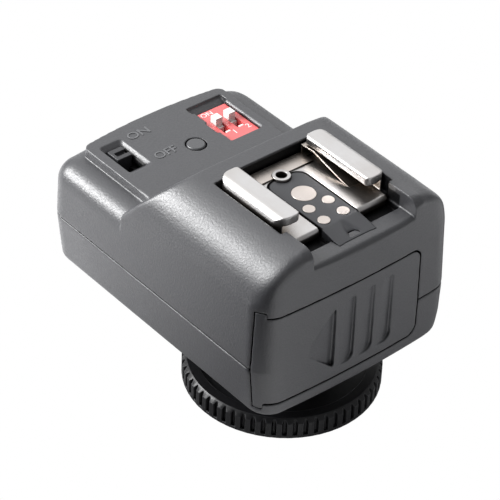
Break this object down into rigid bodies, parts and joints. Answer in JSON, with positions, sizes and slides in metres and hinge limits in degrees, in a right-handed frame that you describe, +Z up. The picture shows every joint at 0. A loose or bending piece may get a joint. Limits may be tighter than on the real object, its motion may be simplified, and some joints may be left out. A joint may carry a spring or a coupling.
{
  "type": "wireless flash trigger",
  "caption": "Radio flash trigger receiver: grey two-shell housing with a top accessory shoe, a deck of small switches, an end battery door and a screw-down locking foot.",
  "frame": {"origin": "centre of the underside of the locking foot, on the axis of the locking wheel", "axes": "+Z up out of the foot through the housing, +X towards the battery-door end, +Y across the housing"},
  "size_m": [0.0526, 0.037, 0.0412],
  "materials": {
    "housing": "fine moulded texture, satin",
    "insert_plastic": "satin",
    "nickel": "bright nickel plate",
    "contact_nickel": "soft nickel",
    "spring_steel": "spring temper",
    "wheel_plastic": "semi-gloss",
    "foot_plastic": "satin",
    "dip_red": "semi-matte",
    "dip_white": "semi-matte",
    "switch_black": "satin",
    "knob_grey": "satin",
    "pcb_green": "solder mask",
    "chip_black": "moulded epoxy",
    "tin": "tin plate",
    "brass": "plain",
    "copper_wire": "enamelled",
    "wire_jacket": "insulation",
    "cell_wrap": "printed sleeve",
    "screw_steel": "black zinc"
  },
  "bodies": {
    "root": {"top_shell": "housing", "bottom_shell": "housing", "shoe_bracket": "nickel", "shoe_spring": "spring_steel", "shoe_insert": "insert_plastic", "center_contact": "contact_nickel", "small_contacts": "contact_nickel", "lock_pin_eyelet": "nickel", "shoe_board": "pcb_green", "shoe_wires": "wire_jacket", "main_board": "pcb_green", "controller_chip": "chip_black", "radio_module": "tin", "crystal": "tin", "capacitors": "chip_black", "sync_thyristor": "chip_black", "antenna_coil": "copper_wire", "power_switch_housing": "switch_black", "dip_switch_body": "dip_red", "tact_switch": "chip_black", "battery_cell_1": "cell_wrap", "battery_cell_2": "cell_wrap", "positive_contact": "spring_steel", "negative_contact": "spring_steel", "battery_spring": "spring_steel", "housing_screws": "screw_steel", "board_screws": "screw_steel", "shoe_foot": "foot_plastic", "threaded_stem": "foot_plastic", "foot_screws": "screw_steel"},
    "battery_door": {"battery_door": "housing", "door_bridge_plate": "spring_steel"},
    "power_switch_slider": {"power_switch_slider": "knob_grey"},
    "dip_actuator_1": {"dip_actuator_1": "dip_white"},
    "dip_actuator_2": {"dip_actuator_2": "dip_white"},
    "test_button": {"test_button": "housing", "tact_plunger": "switch_black"},
    "pressure_plate": {"pressure_plate": "foot_plastic"},
    "locking_wheel": {"locking_wheel": "wheel_plastic"}
  },
  "joints": [
    {"name": "battery_door_slide", "type": "slide", "parent": "root", "child": "battery_door", "axis": [0, -1, 0], "range_m": [0, 0.028]},
    {"name": "power_switch_slide", "type": "slide", "parent": "root", "child": "power_switch_slider", "axis": [1, 0, 0], "range_m": [0, 0.0025]},
    {"name": "channel_1_slide", "type": "slide", "parent": "root", "child": "dip_actuator_1", "axis": [1, 0, 0], "range_m": [0, 0.0018]},
    {"name": "channel_2_slide", "type": "slide", "parent": "root", "child": "dip_actuator_2", "axis": [1, 0, 0], "range_m": [0, 0.0018]},
    {"name": "test_button_press", "type": "slide", "parent": "root", "child": "test_button", "axis": [0, 0, -1], "range_m": [0, 0.0003], "stiffness_N_per_m": 5, "springref_m": -0.001},
    {"name": "pressure_plate_lift", "type": "slide", "parent": "root", "child": "pressure_plate", "axis": [0, 0, 1], "range_m": [0, 0.0024]},
    {"name": "locking_wheel_turn", "type": "hinge", "parent": "pressure_plate", "child": "locking_wheel", "pos_m": [0, 0, 0.0039], "axis": [0, 0, 1], "range_deg": [0, 576]}
  ],
  "couplings": [
    {"joint": "pressure_plate_lift", "follows": "locking_wheel_turn", "m_per_rad": 0.00023873}
  ]
}
